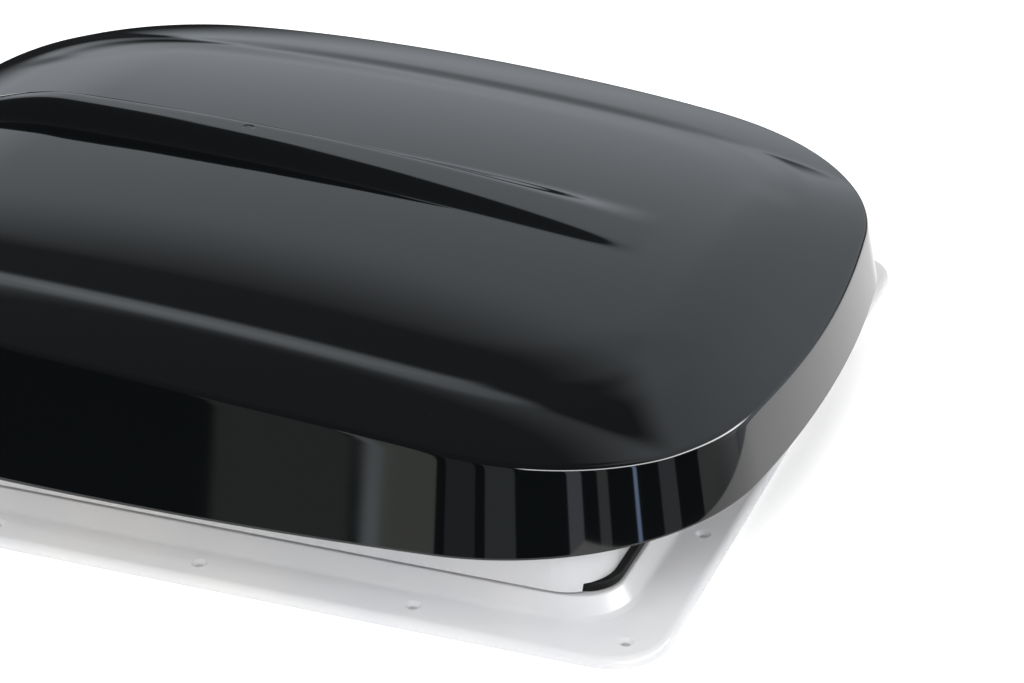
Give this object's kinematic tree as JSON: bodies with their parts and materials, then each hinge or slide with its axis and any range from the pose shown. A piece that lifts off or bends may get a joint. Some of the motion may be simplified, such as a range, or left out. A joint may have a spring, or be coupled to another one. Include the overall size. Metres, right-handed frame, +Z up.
{
  "type": "caravan roof vent",
  "caption": "Square roof vent for a caravan: white screw-on frame, dark hinged dome lid with a lift bow, latches, and a drop-down flyscreen inside.",
  "frame": {"origin": "centre of the square of corner screw holes, on the underside of the flange, where it lies on the roof", "axes": "+Z up, away from the roof; +X towards the lid's hinge; -Y is the front side"},
  "size_m": [0.596, 0.496, 0.1759],
  "materials": {
    "white_plastic": "moulded gloss white",
    "dark_gloss_plastic": "polished near-black acrylic",
    "grey_plastic": "fine-grained grey moulding",
    "seal_rubber": "extruded black rubber",
    "foam_rubber": "closed-cell foam strip",
    "bright_steel": "stainless steel",
    "coated_steel": "white powder coat",
    "net_fabric": "woven flyscreen"
  },
  "bodies": {
    "frame": {"outer_frame": "white_plastic", "roof_gasket": "foam_rubber", "inner_trim": "white_plastic", "trim_screws": "bright_steel", "screw_caps": "white_plastic", "screen_pins": "bright_steel", "clip_screws": "bright_steel", "hinge_bracket_front": "grey_plastic", "hinge_bracket_back": "grey_plastic", "bracket_screws": "bright_steel", "hinge_pins": "bright_steel", "pivot_block_front": "grey_plastic", "pivot_block_back": "grey_plastic", "block_screws": "bright_steel", "keeper_front": "coated_steel", "keeper_back": "coated_steel", "keeper_screws": "bright_steel"},
    "lid": {"dome_shell": "dark_gloss_plastic", "lid_pan": "white_plastic", "lid_seal": "seal_rubber", "hinge_arm_front": "grey_plastic", "hinge_arm_back": "grey_plastic", "arm_screws": "bright_steel", "bow_track_front": "grey_plastic", "bow_track_back": "grey_plastic", "track_screws": "bright_steel", "latch_bolts": "bright_steel", "latch_nuts": "bright_steel"},
    "bow": {"lift_bow": "coated_steel", "bow_sleeve_front": "grey_plastic", "bow_sleeve_back": "grey_plastic", "bow_grip": "grey_plastic"},
    "front_latch": {"latch_front": "grey_plastic"},
    "back_latch": {"latch_back": "grey_plastic"},
    "screen": {"screen_frame": "white_plastic", "screen_net": "net_fabric"},
    "front_clip": {"screen_clip_front": "white_plastic"},
    "back_clip": {"screen_clip_back": "white_plastic"}
  },
  "joints": [
    {"name": "lid_hinge", "type": "hinge", "parent": "frame", "child": "lid", "pos_m": [0.226, 0, 0.024], "axis": [0, 1, 0], "range_deg": [0, 45]},
    {"name": "bow_pivot", "type": "hinge", "parent": "frame", "child": "bow", "pos_m": [0.05465, 0, 0.00901], "axis": [0, 1, 0], "range_deg": [0, 90]},
    {"name": "front_latch_turn", "type": "hinge", "parent": "lid", "child": "front_latch", "pos_m": [-0.172, -0.11, 0.012], "axis": [0, 0, -1], "range_deg": [0, 90]},
    {"name": "back_latch_turn", "type": "hinge", "parent": "lid", "child": "back_latch", "pos_m": [-0.172, 0.11, 0.012], "axis": [0, 0, 1], "range_deg": [0, 90]},
    {"name": "screen_hinge", "type": "hinge", "parent": "frame", "child": "screen", "pos_m": [0.174, 0, -0.02], "axis": [0, -1, 0], "range_deg": [0, 90]},
    {"name": "front_clip_turn", "type": "hinge", "parent": "frame", "child": "front_clip", "pos_m": [-0.1895, -0.095, -0.0245], "axis": [0, 0, -1], "range_deg": [0, 90]},
    {"name": "back_clip_turn", "type": "hinge", "parent": "frame", "child": "back_clip", "pos_m": [-0.1895, 0.095, -0.0245], "axis": [0, 0, 1], "range_deg": [0, 90]}
  ],
  "couplings": [
    {"joint": "bow_pivot", "follows": "lid_hinge", "ratio": 2}
  ]
}
